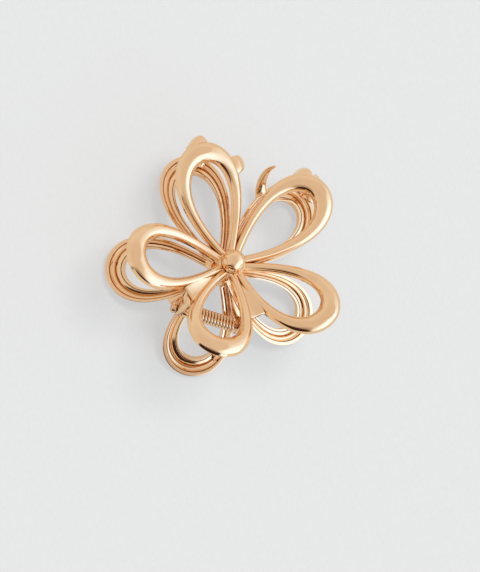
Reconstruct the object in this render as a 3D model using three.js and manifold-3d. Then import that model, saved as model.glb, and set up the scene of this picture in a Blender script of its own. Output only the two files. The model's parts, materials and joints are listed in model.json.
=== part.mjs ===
// A metal claw clip: two open five-petal flowers, face outwards, on a sprung hinge.
// It lies closed on the five petal tips of its back flower. Millimetres, +Z up, +Y towards the
// claws, X along the hinge pin, origin under the middle of the clip.
import * as THREE from "three";
import { mergeVertices } from "three/addons/utils/BufferGeometryUtils.js";
import Module from "manifold-3d";

const wasm = await Module();
wasm.setup();

const deg = THREE.MathUtils.degToRad;
const { lerp } = THREE.MathUtils;

// ---- driving dimensions -------------------------------------------------------------------

// Each flower is a shallow cup that opens outwards, away from the other flower. In a flower's own
// frame x runs along the pin, y towards the claws and z outwards; z = 0 is the hub's centre plane.
const HALF_ANGLE = 7; // degrees that each flower leans from the clip's middle plane
const HUB_OFFSET = 5.9; // hub centre to the middle plane
const CUP_RISE = 10; // petal tips above the hub
const CUP_POWER = 1.3; // how late the cup turns up
const LAND_HEIGHT = 11.8; // flat lands worn on the petal tips, which the clip rests on

const PETAL_ROOT = 1; // radius where a petal's centre line starts
const PETAL_LENGTH = 30.6; // from there to the middle of the petal's tip
const PETAL_SPREAD = 10.74;
const PETAL_TAPER = 1.147; // how far out the petal is widest
const PETAL_START = 0.3; // radians of the loop that are lost inside the hub
const UPPER_PETALS = [
  { angle: 124.3, length: 1.05 },
  { angle: 55.7, length: 1.05 },
  { angle: -16, length: 0.99 },
  { angle: 196, length: 0.99 },
];
const HANDLE_ANGLE = -90;
const HANDLE_LENGTH = { front: 0.9, back: 0.945 };

// The petal's band: domed outside, hollow inside, narrow at the hub and broad at the tip.
const BAND = {
  halfWidth: [1.3, 3.0],
  crown: [1.35, 1.9], // dome above the centre line
  depth: [1.0, 1.25], // rims below it
  flare: 5, // how late the band broadens
};
const BAND_ARC_STEPS = 5;
const RIM = { outer: 0.9, inner: 0.62, floor: 0.3 }; // of the half width, and of the depth
const HALF_PETAL_STEPS = 16;

const HUB = { radius: 4, top: 1.5, bottom: -1.3, bevel: 0.5 };
const BEAD = { radius: 3.6, centre: 3.4, pegRadius: 1.2, pegLength: 1.6 };
const GAP = 0.3; // between pieces that touch
const ROUND_STEPS = 20;
const BALL_STEPS = 8;

// Claws: where each leaves the rim of a top petal, its furthest reach and its point.
const CLAW_DROP = { bulge: 5.5, point: -6 };
const CLAW_SIDES = 8;
const CLAW_STEPS = 9;
const FRONT_CLAWS = [
  { root: [-19.4, 28.0, 9.8], bulge: [-20.4, 32.6], point: [-20.2, 31.0], halfWidth: 2.2 },
  { root: [-6.8, 24.6, 7.2], bulge: [-6.6, 31.4], point: [-6.2, 31.8], halfWidth: 1.6 },
  { root: [13.2, 28.6, 9.4], bulge: [12.8, 33.2], point: [12.6, 31.6], halfWidth: 1.9 },
];
const BACK_CLAWS = [
  { root: [-19.2, 28.4, 9.8], bulge: [-19.9, 35.2], point: [-19.6, 33.0], halfWidth: 1.9 },
  { root: [-6.9, 24.6, 7.2], bulge: [-5.0, 31.4], point: [-5.6, 33.4], halfWidth: 1.5 },
  { root: [13.4, 28.6, 9.4], bulge: [13.4, 34.2], point: [13.3, 32.4], halfWidth: 1.8 },
];
const CLAW_TIP_HALF_WIDTH = 0.45;
const CLAW_TAPER = 1.4; // how late a claw thins

// The hinge. Seen from outside, each flower has its outer lug on the left and its inner one on
// the right, so the two flowers' lugs nest beside each other.
const PIN_Y = -16.4; // from the hub, along the middle plane
const PIN_RADIUS = 0.95;
const LUG = { thickness: 1.7, radius: 2.2, topFront: -17.2, topBack: -11.6, top: 4.4 };
const INNER_LUG = 7.7; // its inner face, from the middle of the pin
const OUTER_LUG = INNER_LUG + LUG.thickness + GAP;
const WEB_THICKNESS = 2.2;
const WEB_SUNK = 0.6; // share of it that lies below the petals' centre lines
const WEB = [
  [4, -4.5],
  [7.8, -16.2],
  [11.4, -15.8],
  [13.4, -11.4],
]; // the gusset between the handle and its neighbour
const PIN_HEAD = { radius: 1.8, thickness: 0.8 };

const WIRE_RADIUS = 0.44;
const LEG_LEAN = 23; // degrees between a spring leg and the middle plane's normal
// The coil runs from its back leg, on the right, to its front leg, on the left.
const SPRING = {
  radius: 1.8,
  turns: 14 - (2 * LEG_LEAN) / 360,
  pitch: -0.97,
  start: 6.7,
};
const FRONT_LEG = { length: 19, shift: 0.8 }; // and how far its end moves along the pin
const BACK_LEG = { length: 18.2, shift: 0.3 };
const WIRE_SIDES = 6;
const STEPS_PER_TURN = 9;

const GOLD = { color: 0xe2b183, metalness: 1, roughness: 0.16 };
const STEEL_GOLD = { color: 0xdcae80, metalness: 1, roughness: 0.25 };

// ---- solids -------------------------------------------------------------------------------

// A closed three.js geometry as a solid.
function solid(geometry) {
  const bare = geometry.index ? geometry.toNonIndexed() : geometry.clone();
  bare.deleteAttribute("normal");
  bare.deleteAttribute("uv");
  const merged = mergeVertices(bare, 1e-4);
  return new wasm.Manifold(
    new wasm.Mesh({
      numProp: 3,
      vertProperties: merged.attributes.position.array,
      triVerts: new Uint32Array(merged.index.array),
    }),
  );
}

// A solid as a three.js geometry.
function geometryOf(made) {
  const mesh = made.getMesh();
  const geometry = new THREE.BufferGeometry();
  geometry.setAttribute("position", new THREE.BufferAttribute(mesh.vertProperties, 3));
  geometry.setIndex(new THREE.BufferAttribute(mesh.triVerts, 1));
  geometry.computeVertexNormals();
  return geometry;
}

function join(solids) {
  return solids.reduce((whole, one) => whole.add(one));
}

// A bar of a closed outline, whose every point (x, y across it, s from 0 to 1 along it) is put
// where place says.
function bar(outline, steps, place) {
  const shape = new THREE.Shape(outline);
  const geometry = new THREE.ExtrudeGeometry(shape, { depth: 1, steps, bevelEnabled: false });
  const points = geometry.getAttribute("position");
  for (let i = 0; i < points.count; i++) {
    const p = place(points.getX(i), points.getY(i), points.getZ(i));
    points.setXYZ(i, p.x, p.y, p.z);
  }
  return geometry;
}

function polygon(sides) {
  const corners = [];
  for (let i = 0; i < sides; i++) {
    const a = (2 * Math.PI * i) / sides;
    corners.push(new THREE.Vector2(Math.cos(a), Math.sin(a)));
  }
  return corners;
}

// A round piece about the z axis, from [radius, z] points that start and end on the axis.
function turned(profile) {
  return new THREE.LatheGeometry(
    profile.map(([r, z]) => new THREE.Vector2(r, z)),
    ROUND_STEPS,
  ).rotateX(Math.PI / 2);
}

// ---- one flower ---------------------------------------------------------------------------

const cupHeight = (share) => CUP_RISE * Math.pow(Math.max(share, 0), CUP_POWER);

// The centre line of a petal along +X: out from the hub, round the tip and back.
class PetalLoop extends THREE.Curve {
  constructor(length) {
    super();
    this.length = PETAL_LENGTH * length;
  }
  getPoint(t, target = new THREE.Vector3()) {
    const turn = lerp(PETAL_START, 2 * Math.PI - PETAL_START, t);
    const share = (1 - Math.cos(turn)) / 2;
    const across = PETAL_SPREAD * Math.sin(turn) * Math.pow(Math.sin(turn / 2), PETAL_TAPER);
    return target.set(PETAL_ROOT + this.length * share, across, cupHeight(share));
  }
  // The cup's outward normal under that point.
  normal(t) {
    const share = (this.getPoint(t).x - PETAL_ROOT) / this.length;
    const slope = (CUP_RISE * CUP_POWER * Math.pow(share, CUP_POWER - 1)) / this.length;
    return new THREE.Vector3(-slope, 0, 1).normalize();
  }
}

// The band's section in half widths, anticlockwise: the dome, then the two rims and the floor.
function bandOutline() {
  const outline = [];
  for (let i = 0; i <= BAND_ARC_STEPS; i++) {
    const a = (Math.PI * i) / BAND_ARC_STEPS;
    outline.push(new THREE.Vector2(Math.cos(a), Math.sin(a)));
  }
  outline.push(new THREE.Vector2(-RIM.outer, -1));
  outline.push(new THREE.Vector2(-RIM.inner, -RIM.floor));
  outline.push(new THREE.Vector2(RIM.inner, -RIM.floor));
  outline.push(new THREE.Vector2(RIM.outer, -1));
  return outline;
}

function halfPetal(petal, from, to) {
  const loop = new PetalLoop(petal.length);
  const place = (x, y, s) => {
    const t = lerp(from, to, s);
    const turn = lerp(PETAL_START, 2 * Math.PI - PETAL_START, t);
    const flare = Math.pow(Math.sin(turn / 2), BAND.flare);
    const normal = loop.normal(t);
    const side = new THREE.Vector3().crossVectors(normal, loop.getTangent(t)).normalize();
    const thickness = y > 0 ? BAND.crown : BAND.depth;
    return loop
      .getPoint(t)
      .addScaledVector(side, x * lerp(...BAND.halfWidth, flare))
      .addScaledVector(normal, y * lerp(...thickness, flare));
  };
  return solid(bar(bandOutline(), HALF_PETAL_STEPS, place).rotateZ(deg(petal.angle)));
}

function petalSolids(handleLength) {
  const petals = [...UPPER_PETALS, { angle: HANDLE_ANGLE, length: handleLength }];
  return petals.flatMap((petal) => [halfPetal(petal, 0, 0.5), halfPetal(petal, 0.5, 1)]);
}

function hubSolid() {
  const { radius, top, bottom, bevel } = HUB;
  const socket = BEAD.pegRadius + GAP;
  return solid(
    turned([
      [0, bottom],
      [radius - bevel, bottom],
      [radius, bottom + bevel],
      [radius, top - bevel],
      [radius - bevel, top],
      [0, top],
    ]),
  ).subtract(
    solid(
      turned([
        [0, top - BEAD.pegLength - GAP],
        [socket, top - BEAD.pegLength - GAP],
        [socket, top + 2 * BEAD.radius],
        [0, top + 2 * BEAD.radius],
      ]),
    ),
  );
}

function clawSolid(claw) {
  const [rootX, rootY, rootZ] = claw.root;
  const spine = new THREE.CatmullRomCurve3([
    new THREE.Vector3(rootX, rootY, rootZ),
    new THREE.Vector3(lerp(rootX, claw.bulge[0], 0.6), lerp(rootY, claw.bulge[1], 0.7), rootZ - 0.8),
    new THREE.Vector3(...claw.bulge, CLAW_DROP.bulge - 1.5),
    new THREE.Vector3(...claw.point, CLAW_DROP.point),
  ]);
  const place = (x, y, s) => {
    const along = spine.getTangent(s);
    const side = new THREE.Vector3(1, 0, 0).addScaledVector(along, -along.x).normalize();
    const up = new THREE.Vector3().crossVectors(along, side);
    const half = lerp(claw.halfWidth, CLAW_TIP_HALF_WIDTH, Math.pow(s, CLAW_TAPER));
    return spine.getPoint(s).addScaledVector(side, x * half).addScaledVector(up, y * half * 0.8);
  };
  return solid(bar(polygon(CLAW_SIDES), CLAW_STEPS, place));
}

// The pin's axis in a flower's own frame.
function pinInFlower() {
  const lean = deg(HALF_ANGLE);
  return {
    y: PIN_Y * Math.cos(lean) + HUB_OFFSET * Math.sin(lean),
    z: PIN_Y * Math.sin(lean) - HUB_OFFSET * Math.cos(lean),
  };
}

// A flat lug that hangs from the petals to the pin; innerFace is its lower x.
function lugSolid(innerFace) {
  const pin = pinInFlower();
  const outline = new THREE.Shape();
  outline.moveTo(LUG.topBack, LUG.top);
  outline.lineTo(LUG.topFront, LUG.top);
  outline.absarc(pin.y, pin.z, LUG.radius, Math.PI, 2 * Math.PI);
  const hole = new THREE.Path().absarc(pin.y, pin.z, PIN_RADIUS + GAP, 0, 2 * Math.PI, true);
  outline.holes.push(hole);
  const plate = new THREE.ExtrudeGeometry(outline, {
    depth: LUG.thickness,
    bevelEnabled: false,
    curveSegments: 8,
  });
  const standUp = new THREE.Matrix4().makeBasis(
    new THREE.Vector3(0, 1, 0),
    new THREE.Vector3(0, 0, 1),
    new THREE.Vector3(1, 0, 0),
  );
  return solid(plate.applyMatrix4(standUp).translate(innerFace, 0, 0));
}

// The gusset on one side of the handle, following the cup.
function webSolid(side) {
  const outline = WEB.map(([x, y]) => new THREE.Vector2(side * x, y));
  const ordered = side > 0 ? outline : outline.reverse();
  return solid(
    bar(ordered, 1, (x, y, s) => {
      const share = (Math.hypot(x, y) - PETAL_ROOT) / PETAL_LENGTH;
      return new THREE.Vector3(x, y, cupHeight(share) + WEB_THICKNESS * (s - WEB_SUNK));
    }),
  );
}

function flower(claws, handleLength) {
  const above = new THREE.BoxGeometry(100, 100, 10).translate(0, 0, LAND_HEIGHT + 5);
  const casting = join([
    hubSolid(),
    ...petalSolids(handleLength),
    ...claws.map(clawSolid),
    webSolid(-1),
    webSolid(1),
    lugSolid(-OUTER_LUG - LUG.thickness),
    lugSolid(INNER_LUG),
  ]);
  return geometryOf(casting.subtract(solid(above)));
}

// A ball on a flat seat, with a peg that goes into the hub.
function bead() {
  const seat = HUB.top + GAP;
  const profile = [
    [0, HUB.top - BEAD.pegLength],
    [BEAD.pegRadius, HUB.top - BEAD.pegLength],
    [BEAD.pegRadius, seat],
  ];
  const lowest = Math.asin((seat - BEAD.centre) / BEAD.radius);
  for (let i = 0; i <= BALL_STEPS; i++) {
    const a = lerp(lowest, Math.PI / 2, i / BALL_STEPS);
    profile.push([BEAD.radius * Math.cos(a), BEAD.centre + BEAD.radius * Math.sin(a)]);
  }
  profile[profile.length - 1][0] = 0;
  return turned(profile);
}

// ---- the hinge, in a frame whose x axis is the pin's axis -----------------------------------

function pin() {
  const end = OUTER_LUG + LUG.thickness + GAP;
  const { radius, thickness } = PIN_HEAD;
  return turned([
    [0, -end - thickness],
    [radius * 0.75, -end - thickness],
    [radius, -end - thickness / 2],
    [radius, -end],
    [PIN_RADIUS, -end],
    [PIN_RADIUS, end],
    [radius * 0.85, end],
    [radius * 0.6, end + thickness * 0.8],
    [0, end + thickness * 0.8],
  ]).rotateY(Math.PI / 2);
}

function wireOutline() {
  return polygon(WIRE_SIDES).map((corner) => corner.multiplyScalar(WIRE_RADIUS));
}

// A point of the coil's centre line, a radians round from +y; it turns towards -z.
function onCoil(a, x, r = SPRING.radius) {
  return new THREE.Vector3(x, r * Math.cos(a), -r * Math.sin(a));
}

function coil() {
  const { turns, pitch, start } = SPRING;
  return bar(wireOutline(), Math.round(turns * STEPS_PER_TURN), (x, y, s) => {
    const a = Math.PI + deg(LEG_LEAN) + 2 * Math.PI * turns * s;
    return onCoil(a, start + turns * pitch * s + y, SPRING.radius + x);
  });
}

// A leg that leaves the coil's end in line with the wire and ends behind a handle petal; side is
// +1 for the front leg and -1 for the back one.
function leg(side, { length, shift }) {
  const lean = deg(LEG_LEAN);
  const x = side > 0 ? SPRING.start + SPRING.turns * SPRING.pitch : SPRING.start;
  const onward = new THREE.Vector3(0, -Math.sin(lean), side * Math.cos(lean));
  const from = onCoil(Math.PI - side * lean, x).addScaledVector(onward, GAP);
  const to = from.clone().addScaledVector(onward, length);
  to.x += shift;
  return new THREE.ExtrudeGeometry(new THREE.Shape(wireOutline()), {
    steps: 4,
    extrudePath: new THREE.LineCurve3(from, to),
  });
}

// ---- the clip -----------------------------------------------------------------------------

function piece(name, geometry, finish) {
  const mesh = new THREE.Mesh(geometry, new THREE.MeshStandardMaterial(finish));
  mesh.name = name;
  return mesh;
}

// The clip is drawn about its middle plane, then leaned so that the back flower lies flat.
const clip = new THREE.Group();

const frontHalf = new THREE.Group();
frontHalf.rotation.x = -deg(HALF_ANGLE);
frontHalf.position.z = HUB_OFFSET;
frontHalf.add(piece("front_flower", flower(FRONT_CLAWS, HANDLE_LENGTH.front), GOLD));
frontHalf.add(piece("front_centre_bead", bead(), GOLD));

const backHalf = new THREE.Group();
backHalf.rotation.set(deg(HALF_ANGLE), Math.PI, 0);
backHalf.position.z = -HUB_OFFSET;
backHalf.add(piece("back_flower", flower(BACK_CLAWS, HANDLE_LENGTH.back), GOLD));
backHalf.add(piece("back_centre_bead", bead(), GOLD));

const hinge = new THREE.Group();
hinge.position.y = PIN_Y;
hinge.add(piece("hinge_pin", pin(), STEEL_GOLD));
hinge.add(piece("spring_coil", coil(), STEEL_GOLD));
hinge.add(piece("spring_leg_front", leg(1, FRONT_LEG), STEEL_GOLD));
hinge.add(piece("spring_leg_back", leg(-1, BACK_LEG), STEEL_GOLD));

clip.add(frontHalf, backHalf, hinge);
clip.rotation.x = -deg(HALF_ANGLE);

// The origin goes to the middle of the underside.
clip.updateMatrixWorld(true);
const extent = new THREE.Box3().setFromObject(clip, true);
const middle = extent.getCenter(new THREE.Vector3());
clip.position.set(-middle.x, -middle.y, -extent.min.z);

const clawClip = new THREE.Group();
clawClip.add(clip);

export default clawClip;
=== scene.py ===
# The claw clip as a finished casting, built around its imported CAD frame. Metres, +Z up.
import json
import math

import bmesh
import bpy
import numpy as np
from mathutils import Matrix, Vector


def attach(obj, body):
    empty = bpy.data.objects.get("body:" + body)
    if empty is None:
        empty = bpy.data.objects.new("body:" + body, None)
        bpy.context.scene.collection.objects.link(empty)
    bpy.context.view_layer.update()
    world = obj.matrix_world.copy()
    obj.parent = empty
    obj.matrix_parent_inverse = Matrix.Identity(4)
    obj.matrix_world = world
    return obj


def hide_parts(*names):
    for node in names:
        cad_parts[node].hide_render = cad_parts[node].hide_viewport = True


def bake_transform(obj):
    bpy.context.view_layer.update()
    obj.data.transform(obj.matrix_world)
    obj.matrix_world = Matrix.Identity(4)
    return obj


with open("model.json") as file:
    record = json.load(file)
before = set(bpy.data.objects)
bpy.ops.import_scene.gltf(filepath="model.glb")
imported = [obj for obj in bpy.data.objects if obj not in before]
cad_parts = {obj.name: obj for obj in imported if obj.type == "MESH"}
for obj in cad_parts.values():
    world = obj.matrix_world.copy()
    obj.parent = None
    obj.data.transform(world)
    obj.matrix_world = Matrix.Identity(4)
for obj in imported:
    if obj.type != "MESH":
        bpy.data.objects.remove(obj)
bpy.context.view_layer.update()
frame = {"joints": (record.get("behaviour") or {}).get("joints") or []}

MM = 0.001

# ---- dimensions, in millimetres -----------------------------------------------------------------

# In a flower's own frame x runs along the pin, y towards the claws and z outwards.
HALF_ANGLE = math.radians(7)  # that each flower leans from the clip's middle plane
HUB_OFFSET = 5.9
PIN_Y = -16.4
CUP_RISE, CUP_POWER = 10, 1.3
LAND_HEIGHT = 11.8

PETAL_ROOT = 1
PETAL_LENGTH = 30.6
PETAL_SPREAD = 10.74
PETAL_TAPER = 1.147
PETAL_START = 0.3
UPPER_PETALS = {  # angle, length
    "front": [(124.3, 1.05), (55.7, 1.05), (-16, 0.99), (196, 0.99)],
    "back": [(124.3, 1.085), (55.7, 1.055), (-16, 0.975), (194.8, 0.985)],
}
NEIGHBOUR = (-16, 0.99)  # the petal beside the handle, that the web runs to
HANDLE_ANGLE = -90
HANDLE_LENGTH = {"front": 0.9, "back": 0.945}
BAND_HALF_WIDTH = (1.3, 3.0)
BAND_CROWN = (1.35, 1.9)
BAND_DEPTH = (1.0, 1.45)
CHANNEL_SHARE = (0.11, 0.14)  # of the petal, over which its hollow opens
BAND_FLARE = 5
BAND_SHOULDER = math.radians(28)  # how far round its circle the dome's edges are cut
DOME_EDGE = -0.1  # where the dome's side ends, in depths
CREASE = math.radians(35)  # surfaces of a casting that meet more sharply than this keep an edge
SLIVER = 0.001  # edges shorter than this are closed up

HUB_RADIUS, HUB_TOP, HUB_BOTTOM = 4, 1.5, -1.3
BEAD_RADIUS, BEAD_CENTRE = 3.6, 3.4
PEG_RADIUS, PEG_LENGTH = 1.2, 1.6
GAP = 0.3

# Claws: spine from the petal's outer wall to the point, half widths to either side of it, half
# thickness, and the direction of the width in degrees from x.
CLAWS = {
    "front": [
        ([(-18.9, 28.6, 9.9), (-20.3, 30.9, 8.9), (-20.8, 32.3, 6.3), (-20.8, 32.7, 3.0),
          (-20.5, 32.2, -1.5), (-20.2, 31.0, -6)], (4.8, 2.6), 1.1, 60),
        ([(-8.0, 27.4, 7.0), (-6.6, 28.9, 6.7), (-5.6, 30.4, 5.0), (-5.3, 31.4, 1.5),
          (-5.7, 31.9, -2.0), (-6.2, 31.6, -6)], (3.2, 2.8), 1.2, -54),
        ([(13.9, 29.5, 9.5), (13.5, 31.4, 8.8), (13.3, 33.3, 6.2), (13.2, 34.2, 3.0),
          (12.9, 33.4, -1.5), (12.6, 31.6, -6)], (2.9, 2.9), 1.2, 39),
    ],
    "back": [
        ([(-20.7, 30.2, 9.9), (-21.2, 32.8, 9.2), (-21.3, 35.2, 6.4), (-21.0, 36.1, 3.0),
          (-20.5, 35.6, -1.5), (-19.6, 33.6, -6)], (2.8, 2.8), 1.0, 50),
        ([(-7.1, 25.2, 7.1), (-6.0, 27.4, 6.3), (-5.0, 30.0, 4.0), (-4.6, 32.2, 0.5),
          (-4.7, 33.6, -3.0), (-5.4, 34.5, -6.5)], (1.9, 1.9), 1.1, 0),
        ([(14.3, 29.5, 9.5), (13.9, 31.8, 8.4), (13.9, 34.3, 5.2), (14.0, 35.2, 1.6),
          (14.0, 34.9, -2.0), (13.5, 33.0, -6)], (2.6, 2.6), 1.1, -39),
    ],
}
CLAW_TIP, CLAW_TAPER = 0.4, 1.3

PIN_RADIUS = 0.95
LUG_THICKNESS, LUG_RADIUS = 1.7, 2.2
LUG_FRONT_TOP, LUG_BACK_TOP = 4.2, 2.6
LUG_FRONT_Y, LUG_BACK_Y = -17.2, -11.6
LUG_EDGE = 0.25
INNER_LUG = 7.7
OUTER_LUG = INNER_LUG + LUG_THICKNESS + GAP
WEB_START = [(4, -4.5), (6.0, -5.2)]  # by the hub, at the handle and at its neighbour
WEB_EDGE = [(7.8, -17.8), (10.0, -15.1), (12.9, -13.0)]  # free edge, a quadratic curve
WEB_RISE = 0.35  # of its outer face over the petals' centre lines, at the handle
WEB_CREST = (BAND_CROWN[0] - 0.04, 0.72)  # and at the neighbour, by the hub and at the free edge
WEB_DEPTH = (0.3, 0.5)  # of its inner face below them, at the handle and at the neighbour
HEAD_RADIUS, HEAD_THICKNESS = 1.9, 1.4

WIRE_RADIUS = 0.44
LEG_LEAN = math.radians(23)
# The coil runs from its back leg, on the right, to its front leg, on the left.
COIL_RADIUS, COIL_PITCH, COIL_START = 1.8, -0.97, 6.7
COIL_TURNS = 14 - LEG_LEAN / math.pi
LEG_LENGTH = {"front": 19.0, "back": 18.2}
LEG_SHIFT = {"front": 0.8, "back": 0.3}

# ---- the frame ----------------------------------------------------------------------------------

hinge = frame["joints"][0]
PIN_AT = Vector(hinge["pos_m"])
MIDDLE_PLANE = Matrix.Translation(PIN_AT) @ Matrix.Rotation(-HALF_ANGLE, 4, "X")
HUB = {"front": Vector((0, -PIN_Y, HUB_OFFSET)), "back": Vector((0, -PIN_Y, -HUB_OFFSET))}
FLOWER = {
    "front": MIDDLE_PLANE @ Matrix.Translation(HUB["front"] * MM)
    @ Matrix.Rotation(-HALF_ANGLE, 4, "X"),
    "back": MIDDLE_PLANE @ Matrix.Translation(HUB["back"] * MM)
    @ Matrix.Rotation(HALF_ANGLE, 4, "X") @ Matrix.Rotation(math.pi, 4, "Y"),
}


# ---- mesh tools ---------------------------------------------------------------------------------


def lerp(a, b, s):
    return a + (b - a) * s


def smoothstep(a, b, x):
    t = np.clip((x - a) / (b - a), 0, 1)
    return t * t * (3 - 2 * t)


def unit(v):
    return v / np.linalg.norm(v, axis=-1, keepdims=True)


class Shell:
    """A closed surface in millimetres: points, and faces of four and of three corners."""

    def __init__(self, points, quads, triangles):
        self.points, self.quads, self.triangles = points, quads, triangles

    @staticmethod
    def from_rings(rings):
        """A skin over closed rings (steps, sides, 3), with its two ends closed by fans."""
        steps, sides, _ = rings.shape
        points = np.vstack([rings.reshape(-1, 3), rings[:1].mean(1), rings[-1:].mean(1)])
        here = np.arange(sides)
        there = np.roll(here, -1)
        start = np.arange(steps - 1)[:, None] * sides
        quads = np.stack(
            [start + here, start + there, start + sides + there, start + sides + here], axis=-1
        )
        first, last = np.full(sides, steps * sides), np.full(sides, steps * sides + 1)
        end = (steps - 1) * sides
        triangles = np.vstack(
            [np.stack([first, there, here], 1), np.stack([last, end + here, end + there], 1)]
        )
        return Shell(points, quads.reshape(-1, 4), triangles).outward()

    def outward(self):
        """The same surface with its faces pointing out."""
        fans = np.vstack([self.quads[:, [0, 1, 2]], self.quads[:, [0, 2, 3]], self.triangles])
        a, b, c = (self.points[fans[:, i]] for i in range(3))
        if np.einsum("ij,ij->", a, np.cross(b, c)) < 0:
            self.quads, self.triangles = self.quads[:, ::-1], self.triangles[:, ::-1]
        return self

    def turned_about_z(self, angle):
        c, s = math.cos(angle), math.sin(angle)
        self.points = self.points @ np.array([[c, s, 0], [-s, c, 0], [0, 0, 1]])
        return self


def mesh_object(name, shells, matrix):
    """One object of the given shells, shaded smooth, and placed by the matrix if there is one."""
    counts = np.cumsum([0] + [len(shell.points) for shell in shells])
    points = np.vstack([shell.points for shell in shells])
    quads = np.vstack([shell.quads + n for shell, n in zip(shells, counts)])
    triangles = np.vstack([shell.triangles + n for shell, n in zip(shells, counts)])
    corners = np.concatenate([quads.ravel(), triangles.ravel()])
    sizes = np.concatenate([np.full(len(quads), 4), np.full(len(triangles), 3)])
    mesh = bpy.data.meshes.new(name)
    mesh.vertices.add(len(points))
    mesh.vertices.foreach_set("co", points.ravel())
    mesh.loops.add(len(corners))
    mesh.loops.foreach_set("vertex_index", corners)
    mesh.polygons.add(len(sizes))
    mesh.polygons.foreach_set("loop_start", np.cumsum(sizes) - sizes)
    mesh.update(calc_edges=True)
    if matrix is not None:
        mesh.transform(matrix @ Matrix.Scale(MM, 4))
    mesh.shade_smooth()
    piece = bpy.data.objects.new(name, mesh)
    bpy.context.scene.collection.objects.link(piece)
    return piece


def close_slivers(mesh):
    """Closes the mesh's shortest edges, and takes out the faces that then lie back to back."""
    tidied = bmesh.new()
    tidied.from_mesh(mesh)
    bmesh.ops.remove_doubles(tidied, verts=tidied.verts, dist=SLIVER)
    bmesh.ops.dissolve_degenerate(tidied, edges=tidied.edges, dist=SLIVER)
    bmesh.ops.triangulate(tidied, faces=tidied.faces)
    alike = {}
    for face in tidied.faces:
        alike.setdefault(frozenset(face.verts), []).append(face)
    back_to_back = [face for faces in alike.values() if len(faces) > 1 for face in faces]
    bmesh.ops.delete(tidied, geom=back_to_back, context="FACES")
    tidied.to_mesh(mesh)
    tidied.free()


def united(name, shells, matrix):
    """One solid of all the shells together, with the creases where they meet left sharp."""
    whole = mesh_object(name, shells[:1], None)
    for shell in shells[1:]:
        part = mesh_object(f"{name}_part", [shell], None)
        union = whole.modifiers.new("join", "BOOLEAN")
        union.operation, union.solver, union.object = "UNION", "MANIFOLD", part
        settle(whole)
        bpy.data.objects.remove(part)
    close_slivers(whole.data)
    whole.data.materials.clear()
    whole.data.transform(matrix @ Matrix.Scale(MM, 4))
    whole.data.shade_smooth()
    whole.data.set_sharp_from_angle(angle=CREASE)
    return whole


def settle(piece):
    """Applies the piece's modifiers."""
    graph = bpy.context.evaluated_depsgraph_get()
    graph.update()
    done = bpy.data.meshes.new_from_object(piece.evaluated_get(graph))
    piece.modifiers.clear()
    old, piece.data = piece.data, done
    bpy.data.meshes.remove(old)


# ---- one flower ---------------------------------------------------------------------------------


def cup_height(share):
    return CUP_RISE * np.maximum(share, 0) ** CUP_POWER


def rounded(corners, steps=4):
    """A closed outline of (x, y, radius) corners, each rounded by a short curve."""
    outline = []
    count = len(corners)
    for i, (x, y, radius) in enumerate(corners):
        here = np.array([x, y], float)
        if not radius:
            outline.append(here)
            continue
        before = np.array(corners[i - 1][:2], float) - here
        after = np.array(corners[(i + 1) % count][:2], float) - here
        reach = [min(radius, 0.45 * np.linalg.norm(d)) for d in (before, after)]
        start = here + before / np.linalg.norm(before) * reach[0]
        end = here + after / np.linalg.norm(after) * reach[1]
        for k in range(steps + 1):
            t = k / steps
            outline.append((1 - t) ** 2 * start + 2 * t * (1 - t) * here + t * t * end)
    return np.array(outline)


def even(outline, count):
    """The closed outline with a vertex at least every 1/count of its length."""
    closed = np.vstack([outline, outline[:1]])
    lengths = np.linalg.norm(np.diff(closed, axis=0), axis=1)
    step = lengths.sum() / count
    points = []
    for a, b, d in zip(closed, closed[1:], lengths):
        parts = max(1, int(math.ceil(d / step)))
        points += [lerp(a, b, k / parts) for k in range(parts)]
    return np.array(points)


def band_outline():
    """The band's section: x in half widths, y in crowns above the centre line and depths below.
    Its hollow has a ramp that falls outwards and then a round gutter, parted by sharp steps."""
    cut = BAND_SHOULDER
    dome = []
    for a in np.linspace(cut, math.pi - cut, 33):
        x = math.cos(a) / math.cos(cut)
        y = (math.sin(a) - math.sin(cut)) / (1 - math.sin(cut))
        dome.append((x, y, 0))
    inner_rim = [(-1.0, DOME_EDGE, 0.06), (-0.99, -1.0, 0.10), (-0.67, -1.0, 0.05)]
    inner_groove = [(-0.65, -0.55, 0.02), (-0.60, -0.55, 0.02), (-0.58, -0.90, 0.03)]
    ramp = [(-0.56 + 0.51 * t, -0.92 + 0.28 * t + 0.14 * t * t, 0) for t in np.linspace(0, 1, 9)]
    step = [(-0.03, -0.46, 0.01), (-0.01, -0.84, 0.02)]
    gutter = [
        (0.29 + 0.28 * u, -0.86 + 0.50 * math.sqrt(1 - u * u), 0)
        for u in np.sin(np.linspace(-1.4, 1.5, 21))
    ]
    outer_groove = [(0.575, -0.62, 0.01), (0.615, -0.62, 0.01)]
    outer_rim = [(0.63, -1.0, 0.04), (1.08, -1.0, 0.14)]
    hollow = inner_rim + inner_groove + ramp + step + gutter + outer_groove + outer_rim
    return even(rounded([*dome, *hollow, (1.0, DOME_EDGE, 0.06)]), 100)


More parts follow.
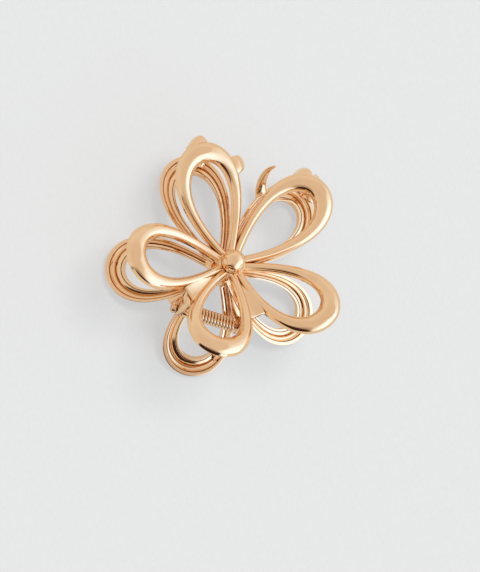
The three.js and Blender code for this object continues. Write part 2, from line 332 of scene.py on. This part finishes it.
def petal(angle, length):
    """One petal's band, swept round its loop along +X and then turned to its place."""
    reach = PETAL_LENGTH * length
    turn = np.linspace(PETAL_START, 2 * math.pi - PETAL_START, 201)
    share = (1 - np.cos(turn)) / 2
    x = PETAL_ROOT + reach * share
    y = PETAL_SPREAD * np.sin(turn) * np.sin(turn / 2) ** PETAL_TAPER
    centre = np.stack([x, y, cup_height(share)], axis=1)
    slope = CUP_RISE * CUP_POWER * share ** (CUP_POWER - 1) / reach
    normal = unit(np.stack([-slope, np.zeros_like(slope), np.ones_like(slope)], axis=1))
    along = unit(np.gradient(centre, axis=0))
    side = unit(np.cross(normal, along))
    flare = np.sin(turn / 2) ** BAND_FLARE
    half, crown, depth = (
        lerp(*pair, flare)[:, None] for pair in (BAND_HALF_WIDTH, BAND_CROWN, BAND_DEPTH)
    )
    outline = band_outline()
    across, up = outline[:, 0], outline[:, 1]
    hollow = (up < DOME_EDGE) & (np.abs(across) < 0.95)
    opening = smoothstep(*CHANNEL_SHARE, share)[:, None]
    up = np.where(hollow, lerp(-1, up, opening), up)
    height = np.where(up > 0, up * crown, up * depth)
    rings = (
        centre[:, None]
        + side[:, None] * (across * half)[:, :, None]
        + normal[:, None] * height[:, :, None]
    )
    return Shell.from_rings(rings).turned_about_z(math.radians(angle))


def lathe(profile, sides=96):
    """A closed round piece about z, from (radius, z) points that start and end on the axis."""
    around = np.linspace(0, 2 * math.pi, sides, endpoint=False)
    ring = np.stack([np.cos(around), np.sin(around)], axis=1)
    rings = [np.column_stack([ring * radius, np.full(sides, z)]) for radius, z in profile[1:-1]]
    shell = Shell.from_rings(np.array(rings))
    shell.points[-2:, 2] = profile[0][1], profile[-1][1]
    return shell


def rounded_profile(corners, steps=5):
    """An open (radius, z) profile with its inner corners rounded: (radius, z, rounding)."""
    points = [corners[0][:2]]
    for i in range(1, len(corners) - 1):
        here = np.array(corners[i][:2], float)
        before = np.array(corners[i - 1][:2], float) - here
        after = np.array(corners[i + 1][:2], float) - here
        reach = [min(corners[i][2], 0.48 * np.linalg.norm(d)) for d in (before, after)]
        start = here + before / np.linalg.norm(before) * reach[0]
        end = here + after / np.linalg.norm(after) * reach[1]
        for k in range(steps + 1):
            t = k / steps
            points.append(tuple((1 - t) ** 2 * start + 2 * t * (1 - t) * here + t * t * end))
    points.append(corners[-1][:2])
    return points


def hub():
    return lathe(
        rounded_profile(
            [
                (0, HUB_BOTTOM, 0),
                (HUB_RADIUS, HUB_BOTTOM, 0.5),
                (HUB_RADIUS, HUB_TOP, 0.5),
                (0, HUB_TOP, 0),
            ]
        )
    )


def catmull_rom(points, count):
    """A smooth curve through the points (centripetal), and its unit tangents."""
    p = [np.array(q, float) for q in points]
    p = [2 * p[0] - p[1], *p, 2 * p[-1] - p[-2]]
    curve = []
    spans = len(p) - 3
    for k in range(count):
        f = k / (count - 1) * spans
        i = min(int(f), spans - 1)
        p0, p1, p2, p3 = p[i : i + 4]
        t0 = 0.0
        t1 = t0 + np.linalg.norm(p1 - p0) ** 0.5
        t2 = t1 + np.linalg.norm(p2 - p1) ** 0.5
        t3 = t2 + np.linalg.norm(p3 - p2) ** 0.5
        t = lerp(t1, t2, f - i)
        a1 = (t1 - t) / (t1 - t0) * p0 + (t - t0) / (t1 - t0) * p1
        a2 = (t2 - t) / (t2 - t1) * p1 + (t - t1) / (t2 - t1) * p2
        a3 = (t3 - t) / (t3 - t2) * p2 + (t - t2) / (t3 - t2) * p3
        b1 = (t2 - t) / (t2 - t0) * a1 + (t - t0) / (t2 - t0) * a2
        b2 = (t3 - t) / (t3 - t1) * a2 + (t - t1) / (t3 - t1) * a3
        curve.append((t2 - t) / (t2 - t1) * b1 + (t - t1) / (t2 - t1) * b2)
    curve = np.array(curve)
    return curve, unit(np.gradient(curve, axis=0))


def claw(spine, half_widths, half_thickness, facing):
    """A horn that leaves the petal's rim, turns down over it and ends in a blunt point."""
    line, along = catmull_rom(spine, 65)
    taper = np.linspace(0, 1, len(line)) ** CLAW_TAPER
    facing = math.radians(facing)
    width = np.array([math.cos(facing), math.sin(facing), 0])
    side = unit(width - along * (along @ width)[:, None])
    up = np.cross(along, side)
    left, right = (lerp(half, CLAW_TIP, taper) for half in half_widths)
    thick = lerp(half_thickness, CLAW_TIP, taper)
    # The point is closed like a ball by a few more rings, and the root almost flat.
    closing = np.linspace(math.pi / 2, 0, 8, endpoint=False) * 0.97
    shrink = np.concatenate([np.cos(closing), np.ones(len(line)), np.cos(closing[::-1])])
    step = np.concatenate([-0.2 * np.sin(closing), np.zeros(len(line)), np.sin(closing[::-1])])
    index = np.concatenate([np.zeros(8), np.arange(len(line)), np.full(8, len(line) - 1)])
    index = index.astype(int)
    centre = line[index] + along[index] * (step * thick[index])[:, None]
    a = np.linspace(0, 2 * math.pi, 40, endpoint=False)
    broad = np.where(np.cos(a) > 0, right[index, None], left[index, None])
    rings = (
        centre[:, None]
        + side[index][:, None] * (np.cos(a) * broad * shrink[:, None])[:, :, None]
        + up[index][:, None] * (np.sin(a) * (thick[index] * shrink)[:, None])[:, :, None]
    )
    return Shell.from_rings(rings)


def pin_in_flower():
    y = PIN_Y * math.cos(HALF_ANGLE) + HUB_OFFSET * math.sin(HALF_ANGLE)
    z = PIN_Y * math.sin(HALF_ANGLE) - HUB_OFFSET * math.cos(HALF_ANGLE)
    return y, z


def lug(inner_face):
    """A flat lug with a round end at the pin and softened edges."""
    pin_y, pin_z = pin_in_flower()
    outline = [(LUG_BACK_Y, LUG_BACK_TOP), (LUG_FRONT_Y, LUG_FRONT_TOP)]
    outline += [
        (pin_y + LUG_RADIUS * math.cos(a), pin_z + LUG_RADIUS * math.sin(a))
        for a in np.linspace(math.pi, 2 * math.pi, 33)
    ]
    outline = even(np.array(outline), 120)
    inward = unit(np.array([pin_y, pin_z + LUG_RADIUS]) - outline)
    quarter = np.linspace(0, math.pi / 2, 5)
    inset = LUG_EDGE * (1 - np.sin(quarter))
    depth = LUG_EDGE * (1 - np.cos(quarter))
    inset = np.concatenate([inset, inset[::-1]])
    depth = np.concatenate([depth, LUG_THICKNESS - depth[::-1]])
    rings = [
        np.column_stack([np.full(len(outline), inner_face + d), outline + inward * i])
        for d, i in zip(depth, inset)
    ]
    return Shell.from_rings(np.array(rings))


def web(side, handle_length):
    """The gusset that fills the corner between the handle and its neighbour: it comes out from
    under the handle's dome and runs level into the crest of the neighbour's."""
    starts, edges = np.array(WEB_START, float), np.array(WEB_EDGE, float)
    s = np.linspace(0, 1, 41)[:, None, None]
    t = np.linspace(0, 1, 33)[None, :, None]
    edge = (1 - t) ** 2 * edges[0] + 2 * t * (1 - t) * edges[1] + t * t * edges[2]
    plan = lerp(lerp(starts[0], starts[1], t), edge, s)
    # The cup's height along the handle's axis and along the neighbour's.
    neighbour = math.radians(NEIGHBOUR[0])
    along_handle = -plan[..., 1]
    along_neighbour = plan[..., 0] * math.cos(neighbour) + plan[..., 1] * math.sin(neighbour)
    heights = [
        cup_height((along - PETAL_ROOT) / (PETAL_LENGTH * length))
        for along, length in (
            (along_handle, handle_length), (along_neighbour, NEIGHBOUR[1])
        )
    ]
    blend = smoothstep(0, 1, t[..., 0])
    level = lerp(heights[0], heights[1], blend)
    crest = lerp(*WEB_CREST, smoothstep(0.6, 1, s[..., 0]))
    upper = level + lerp(WEB_RISE, crest, blend)
    lower = level - lerp(*WEB_DEPTH, blend)
    # The free edge is round: both faces close towards it.
    closing = np.sqrt(np.clip((1 - s[..., 0]) / 0.07, 0, 1))
    middle_height = (upper + lower) / 2
    upper = lerp(middle_height + 0.02, upper, closing)
    lower = lerp(middle_height - 0.02, lower, closing)
    plan = plan * (side, 1)
    faces = [np.concatenate([plan, z[..., None]], axis=-1) for z in (upper, lower)]
    return Shell.from_rings(np.concatenate([faces[0], faces[1][:, ::-1]], axis=1))


def flower(which):
    petals = [*UPPER_PETALS[which], (HANDLE_ANGLE, HANDLE_LENGTH[which])]
    shells = [hub()]
    shells += [petal(angle, length) for angle, length in petals]
    shells += [claw(*c) for c in CLAWS[which]]
    shells += [web(side, HANDLE_LENGTH[which]) for side in (-1, 1)]
    shells += [lug(-OUTER_LUG - LUG_THICKNESS), lug(INNER_LUG)]
    for shell in shells:
        shell.points[:, 2] = np.minimum(shell.points[:, 2], LAND_HEIGHT)
    return united(f"{which}_flower_casting", shells, FLOWER[which])


def bead(which):
    seat = HUB_TOP + GAP
    lowest = math.asin((seat - BEAD_CENTRE) / BEAD_RADIUS)
    profile = [(0, HUB_TOP - PEG_LENGTH), (PEG_RADIUS, HUB_TOP - PEG_LENGTH), (PEG_RADIUS, seat)]
    for a in np.linspace(lowest, math.pi / 2, 49):
        groove = 0.07 * math.exp(-((a / 0.035) ** 2))
        r = BEAD_RADIUS - groove
        profile.append((r * math.cos(a), BEAD_CENTRE + r * math.sin(a)))
    return mesh_object(f"{which}_bead", [lathe(profile)], FLOWER[which])


# ---- the hinge ----------------------------------------------------------------------------------


def pin():
    end = OUTER_LUG + LUG_THICKNESS + GAP
    corners = [
        (0, -end - HEAD_THICKNESS, 0),
        (HEAD_RADIUS, -end - HEAD_THICKNESS, 0.7),
        (HEAD_RADIUS, -end, 0.1),
        (PIN_RADIUS, -end, 0.05),
        (PIN_RADIUS, end, 0.05),
        (HEAD_RADIUS * 0.85, end, 0.1),
        (HEAD_RADIUS * 0.85, end + HEAD_THICKNESS * 0.8, 0.7),
        (0, end + HEAD_THICKNESS * 0.8, 0),
    ]
    shape = lathe(rounded_profile(corners), 64)
    along_x = Matrix.Rotation(math.pi / 2, 4, "Y")
    return mesh_object("hinge_pin_steel", [shape], MIDDLE_PLANE @ along_x)


def on_coil(a, x, r=COIL_RADIUS):
    return np.stack([x * np.ones_like(a), r * np.cos(a), -r * np.sin(a)], axis=-1)


def coil():
    sides = 16
    s = np.linspace(0, 1, int(COIL_TURNS * 48) + 1)
    a = math.pi + LEG_LEAN + 2 * math.pi * COIL_TURNS * s
    x = COIL_START + COIL_TURNS * COIL_PITCH * s
    b = np.linspace(0, 2 * math.pi, sides, endpoint=False)
    rings = on_coil(
        a[:, None] + 0 * b,
        x[:, None] + WIRE_RADIUS * np.sin(b),
        COIL_RADIUS + WIRE_RADIUS * np.cos(b) + 0 * a[:, None],
    )
    return mesh_object("spring_coil_wire", [Shell.from_rings(rings)], MIDDLE_PLANE)


def leg(which):
    """A leg that leaves the coil's end in line with the wire and ends behind the handle petal."""
    side = 1 if which == "front" else -1
    x = COIL_START + COIL_TURNS * COIL_PITCH if side > 0 else COIL_START
    onward = np.array([0, -math.sin(LEG_LEAN), side * math.cos(LEG_LEAN)])
    start = on_coil(np.array(math.pi - side * LEG_LEAN), x)
    s = np.linspace(0, 1, 30)
    line = start + onward * (s * (LEG_LENGTH[which] + GAP))[:, None]
    line[:, 0] += LEG_SHIFT[which] * smoothstep(0, 1, s)
    along = unit(np.gradient(line, axis=0))
    across = unit(np.array([1.0, 0, 0]) - along * along[:, :1])
    up = np.cross(along, across)
    b = np.linspace(0, 2 * math.pi, 16, endpoint=False)[:, None]
    section = across[:, None] * np.cos(b) + up[:, None] * np.sin(b)
    rings = line[:, None] + section * WIRE_RADIUS
    return mesh_object(f"spring_{which}_leg_wire", [Shell.from_rings(rings)], MIDDLE_PLANE)


# ---- materials ----------------------------------------------------------------------------------


class Nodes:
    """A few lines that make a node tree easy to write."""

    def __init__(self, tree):
        self.tree = tree

    def add(self, kind, inputs=(), **settings):
        node = self.tree.nodes.new("ShaderNode" + kind)
        for name, value in settings.items():
            setattr(node, name, value)
        for key, value in dict(inputs).items():
            self.put(node.inputs[key], value)
        return node

    def put(self, socket, value):
        if isinstance(value, bpy.types.NodeSocket):
            self.tree.links.new(value, socket)
        else:
            socket.default_value = value

    def math(self, operation, *values):
        return self.add("Math", dict(enumerate(values)), operation=operation).outputs[0]

    def mix(self, factor, a, b):
        """Colour a where the factor is 0 and colour b where it is 1."""
        return self.add("Mix", {0: factor, 6: a, 7: b}, data_type="RGBA").outputs[2]

    def noise(self, size, detail=2.0, stretch=(1, 1, 1)):
        """Noise from 0 to 1 whose features are about size metres across."""
        place = self.add("TexCoord").outputs["Object"]
        mapped = self.add("Mapping", {"Vector": place, "Scale": stretch}).outputs[0]
        inputs = {"Vector": mapped, "Scale": 1 / size, "Detail": detail}
        return self.add("TexNoise", inputs).outputs["Fac"]

    def spread(self, value, low, high, to_low=0.0, to_high=1.0):
        """The value's range from low to high, moved to another range."""
        inputs = {1: low, 2: high, 3: to_low, 4: to_high, "Value": value}
        return self.add("MapRange", inputs).outputs["Result"]


def plated(name, colour, warm, groove, rough, wave):
    """Polished rose-gold plate: a colour that drifts a little, painted shade in the hollows where
    ambient occlusion is strong, the casting's slight waves and fine polishing lines."""
    material = bpy.data.materials.new(name)
    material.use_nodes = True
    shader = material.node_tree.nodes["Principled BSDF"]
    n = Nodes(material.node_tree)
    drift = n.spread(n.noise(5 * MM, 3), 0.35, 0.65)
    plate = n.mix(drift, colour, warm)
    # Painted shade: where ambient occlusion finds a hollow, the plate is darkened in patches
    # towards the groove colour and made a little rougher.
    open_sky = n.add("AmbientOcclusion", {"Distance": 0.9 * MM}, samples=8).outputs["AO"]
    recess_shade_mask = n.spread(open_sky, 0.60, 0.20)
    patchy_recess_shade = n.math("MULTIPLY", recess_shade_mask, n.spread(n.noise(1.2 * MM, 3), 0.2, 0.6, 0.6, 1.0))
    n.put(shader.inputs["Base Color"], n.mix(patchy_recess_shade, plate, groove))
    smear = n.spread(n.noise(2.5 * MM, 4), 0.3, 0.7, rough * 0.7, rough * 1.5)
    n.put(shader.inputs["Roughness"], n.math("MULTIPLY_ADD", patchy_recess_shade, 0.12, smear))
    shader.inputs["Metallic"].default_value = 1
    waves = n.math("MULTIPLY", n.noise(2.6 * MM, 1), wave)
    grain = n.math("MULTIPLY", n.noise(0.5 * MM, 2), wave * 0.10)
    lines = n.math("MULTIPLY", n.noise(0.3 * MM, 2, (1, 0.12, 1)), wave * 0.03)
    height = n.math("ADD", n.math("ADD", waves, grain), lines)
    bump = n.add("Bump", {"Strength": 1.0, "Distance": 1.0, "Height": height})
    n.put(shader.inputs["Normal"], bump.outputs["Normal"])
    return material


def paper():
    """Pale matt paper with a faint fibre."""
    material = bpy.data.materials.new("pale_floor")
    material.use_nodes = True
    shader = material.node_tree.nodes["Principled BSDF"]
    n = Nodes(material.node_tree)
    fibre = n.spread(n.noise(0.8 * MM, 4, (1, 0.4, 1)), 0.3, 0.7)
    tone = n.mix(fibre, (0.225, 0.182, 0.144, 1), (0.245, 0.198, 0.156, 1))
    n.put(shader.inputs["Base Color"], tone)
    n.put(shader.inputs["Roughness"], n.spread(fibre, 0, 1, 0.65, 0.8))
    height = n.math("MULTIPLY", fibre, 0.012 * MM)
    bump = n.add("Bump", {"Strength": 1.0, "Distance": 1.0, "Height": height})
    n.put(shader.inputs["Normal"], bump.outputs["Normal"])
    shader.inputs["Specular IOR Level"].default_value = 0.1
    shader.inputs["Emission Color"].default_value = (0.912, 0.972, 1.0, 1)
    shader.inputs["Emission Strength"].default_value = 0.502
    return material


# ---- the scene ----------------------------------------------------------------------------------

ROSE_GOLD, WARM_GOLD = (0.90, 0.575, 0.305, 1), (0.93, 0.615, 0.335, 1)
# The next line's first colour is the dark brown painted into the hollows as shade; its second is
# the pin's copper.
RECESS_SHADE, COPPER = (0.28, 0.12, 0.045, 1), (0.74, 0.40, 0.26, 1)
cast = plated("plated_casting", ROSE_GOLD, WARM_GOLD, RECESS_SHADE, rough=0.055, wave=0.030 * MM)
ball_plate = plated("plated_bead", ROSE_GOLD, WARM_GOLD, RECESS_SHADE, rough=0.04, wave=0.012 * MM)
wire_plate = plated("plated_wire", WARM_GOLD, ROSE_GOLD, RECESS_SHADE, rough=0.10, wave=0.008 * MM)
pin_plate = plated("plated_pin", COPPER, ROSE_GOLD, RECESS_SHADE, rough=0.14, wave=0.010 * MM)
BODY = {"front": "front_half", "back": "back_half"}

for which in ("front", "back"):
    casting = flower(which)
    casting.data.materials.append(cast)
    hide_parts(f"{which}_flower")
    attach(casting, BODY[which])
    ball = bead(which)
    ball.data.materials.append(ball_plate)
    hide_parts(f"{which}_centre_bead")
    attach(ball, BODY[which])
    wire = leg(which)
    wire.data.materials.append(wire_plate)
    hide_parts(f"spring_leg_{which}")
    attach(wire, BODY[which])

rod = pin()
rod.data.materials.append(pin_plate)
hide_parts("hinge_pin")
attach(rod, "back_half")

spring = coil()
spring.data.materials.append(wire_plate)
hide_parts("spring_coil")
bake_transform(spring)

floor_mesh = bpy.data.meshes.new("floor")
floor_mesh.from_pydata([(-3, -3, 0), (3, -3, 0), (3, 3, 0), (-3, 3, 0)], [], [(0, 1, 2, 3)])
floor = bpy.data.objects.new("floor", floor_mesh)
bpy.context.scene.collection.objects.link(floor)
floor_mesh.materials.append(paper())

# The camera looks down on the front flower, a little from the left.
CAMERA_TURNS = {"Z": -17.53, "Y": 11.14, "X": -4.99}  # degrees
CAMERA_DISTANCE = 0.9
AIM_RIGHT, AIM_DOWN = 4.19, 5.85  # of the hub, in millimetres
VIEW = Matrix.Identity(3)
for axis, degrees in CAMERA_TURNS.items():
    VIEW = VIEW @ Matrix.Rotation(math.radians(degrees), 3, axis)
right, up, back = VIEW[0], VIEW[1], VIEW[2]
anchor = PIN_AT + Vector((0, math.cos(HALF_ANGLE), -math.sin(HALF_ANGLE))) * 16.6 * MM
aim = anchor + right * AIM_RIGHT * MM - up * AIM_DOWN * MM
lens = bpy.data.cameras.new("camera")
lens.sensor_width = 36
lens.sensor_fit = "HORIZONTAL"
lens.lens = 222.75
camera = bpy.data.objects.new("camera", lens)
bpy.context.scene.collection.objects.link(camera)
camera.matrix_world = Matrix.Translation(aim + back * CAMERA_DISTANCE) @ VIEW.transposed().to_4x4()
bpy.context.scene.camera = camera


def seen_from_camera(azimuth, angle):
    """A direction in the row frame: angle away from the camera's, azimuth round it from its
    right."""
    a, b = math.radians(azimuth), math.radians(angle)
    return right * math.cos(a) * math.sin(b) + up * math.sin(a) * math.sin(b) + back * math.cos(b)


def studio_world():
    """A pale room: even light from above, a bright window low on the right and a dark corner low
    in front."""
    world = bpy.data.worlds.new("studio")
    world.use_nodes = True
    n = Nodes(world.node_tree)
    backdrop = world.node_tree.nodes["Background"]
    direction = n.add("TexCoord").outputs["Generated"]

    def lobe(azimuth, angle, wide, tight):
        """1 within tight degrees of a direction and 0 beyond wide degrees of it."""
        inputs = {0: direction, 1: seen_from_camera(azimuth, angle)}
        dot = n.add("VectorMath", inputs, operation="DOT_PRODUCT").outputs["Value"]
        edges = (math.cos(math.radians(wide)), math.cos(math.radians(tight)))
        inputs = {"Value": dot, "From Min": edges[0], "From Max": edges[1]}
        return n.add("MapRange", inputs, interpolation_type="SMOOTHSTEP").outputs["Result"]

    colour = n.mix(lobe(90, 5, 80, 10), (0.86, 0.87, 0.95, 1), (0.78, 0.76, 0.79, 1))
    colour = n.mix(lobe(5, 85, 50, 10), colour, (1.0, 1.18, 1.5, 1))
    colour = n.mix(lobe(-36, 84, 58, 24), colour, (1.3, 1.75, 2.65, 1))
    colour = n.mix(lobe(-106, 44, 26, 8), colour, (0.50, 0.46, 0.47, 1))
    colour = n.mix(lobe(-116, 78, 38, 28), colour, (0.05, 0.024, 0.018, 1))
    n.put(backdrop.inputs["Color"], colour)
    backdrop.inputs["Strength"].default_value = 1
    return world


bpy.context.scene.world = studio_world()
bpy.context.scene.view_settings.view_transform = "Standard"

key = bpy.data.lights.new("key", "SUN")
key.energy = 2.6
key.color = (0.82, 1.0, 1.22)
key.angle = math.radians(24)
key_light = bpy.data.objects.new("key", key)
bpy.context.scene.collection.objects.link(key_light)
key_light.rotation_euler = seen_from_camera(35, 32).to_track_quat("Z", "Y").to_euler()
key_light.visible_glossy = False
